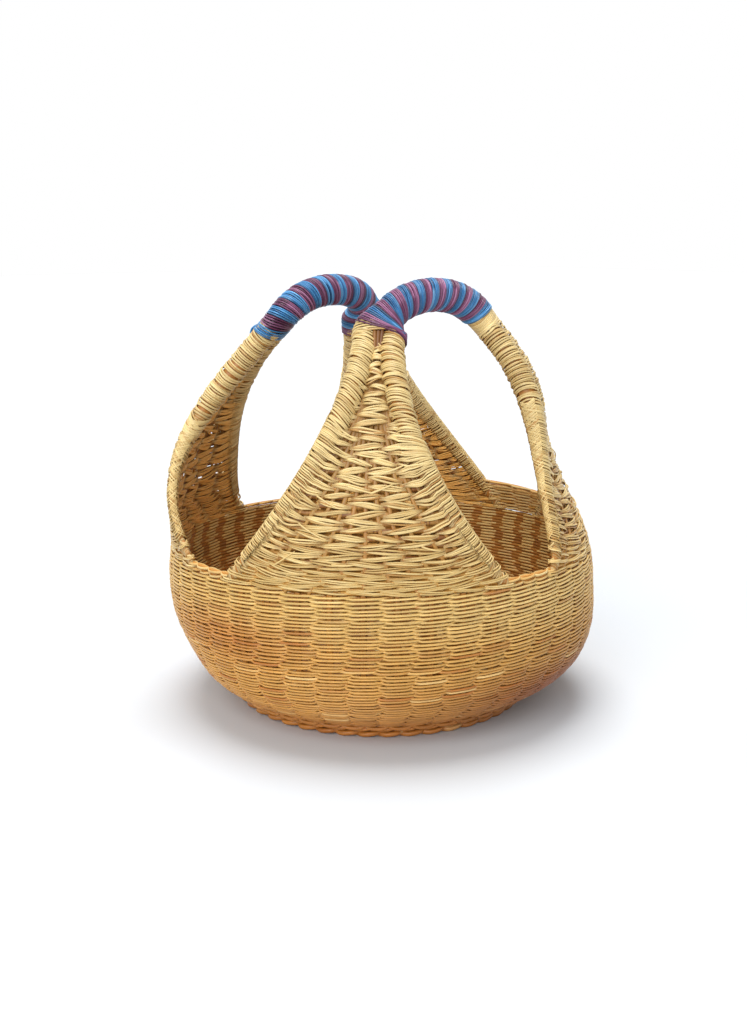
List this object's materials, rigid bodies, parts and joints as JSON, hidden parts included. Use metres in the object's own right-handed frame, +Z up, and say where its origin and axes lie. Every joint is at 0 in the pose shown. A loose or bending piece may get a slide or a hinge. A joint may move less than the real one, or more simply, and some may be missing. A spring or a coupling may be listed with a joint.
{
  "type": "twin-handled grass basket",
  "caption": "Round-bellied twined straw basket whose wall rises into pointed gores that meet in two arched handles wound in blue and purple, for carrying logs or shopping.",
  "frame": {"origin": "on the floor under the centre of the bowl", "axes": "+Z up, X along both handles, -Y through the front handle's opening"},
  "size_m": [0.427, 0.427, 0.4203],
  "materials": {
    "straw": "dry twined grass",
    "pale_straw": "dry twined grass",
    "brown_straw": "dry grass in shade",
    "blue_straw": "dyed grass, satin",
    "purple_straw": "dyed grass, satin"
  },
  "bodies": {
    "basket": {"back_gore_edge_a": "pale_straw", "back_gore_edge_b": "pale_straw", "back_gore_stake_1": "brown_straw", "back_gore_stake_2": "brown_straw", "back_gore_stake_3": "brown_straw", "back_gore_weft_inner": "brown_straw", "back_gore_weft_outer": "pale_straw", "back_rim_binding": "pale_straw", "base_weft_inner": "brown_straw", "base_weft_outer": "straw", "bowl_weft_inner": "brown_straw", "bowl_weft_outer": "straw", "foot_wale": "straw", "front_gore_edge_a": "pale_straw", "front_gore_edge_b": "pale_straw", "front_gore_stake_1": "brown_straw", "front_gore_stake_2": "brown_straw", "front_gore_stake_3": "brown_straw", "front_gore_weft_inner": "brown_straw", "front_gore_weft_outer": "pale_straw", "front_rim_binding": "pale_straw", "left_gore_edge_a": "pale_straw", "left_gore_edge_b": "pale_straw", "left_gore_stake_1": "brown_straw", "left_gore_stake_2": "brown_straw", "left_gore_stake_3": "brown_straw", "left_gore_weft_inner": "brown_straw", "left_gore_weft_outer": "pale_straw", "left_rim_binding": "pale_straw", "right_gore_edge_a": "pale_straw", "right_gore_edge_b": "pale_straw", "right_gore_stake_1": "brown_straw", "right_gore_stake_2": "brown_straw", "right_gore_stake_3": "brown_straw", "right_gore_weft_inner": "brown_straw", "right_gore_weft_outer": "pale_straw", "right_opening_weft": "brown_straw", "right_rim_binding": "pale_straw", "stake_frame": "brown_straw"},
    "front_handle": {"front_handle_core": "brown_straw", "front_handle_winding_blue": "blue_straw", "front_handle_winding_purple": "purple_straw", "front_neck_column_a": "pale_straw", "front_neck_column_b": "pale_straw", "front_neck_weft": "pale_straw", "right_neck_column_a": "pale_straw", "right_neck_column_b": "pale_straw", "right_neck_weft": "pale_straw"},
    "back_handle": {"back_handle_core": "brown_straw", "back_handle_winding_blue": "blue_straw", "back_handle_winding_purple": "purple_straw", "back_neck_column_a": "pale_straw", "back_neck_column_b": "pale_straw", "back_neck_weft": "pale_straw", "left_neck_column_a": "pale_straw", "left_neck_column_b": "pale_straw", "left_neck_weft": "pale_straw"}
  },
  "joints": [
    {"name": "front_handle_flex", "type": "hinge", "parent": "basket", "child": "front_handle", "pos_m": [0, -0.10198, 0.33608], "axis": [-1, 0, 0], "range_deg": [-6, 16], "stiffness_Nm_per_rad": 6},
    {"name": "back_handle_flex", "type": "hinge", "parent": "basket", "child": "back_handle", "pos_m": [0, 0.10837, 0.33608], "axis": [1, 0, 0], "range_deg": [-6, 16], "stiffness_Nm_per_rad": 6}
  ]
}
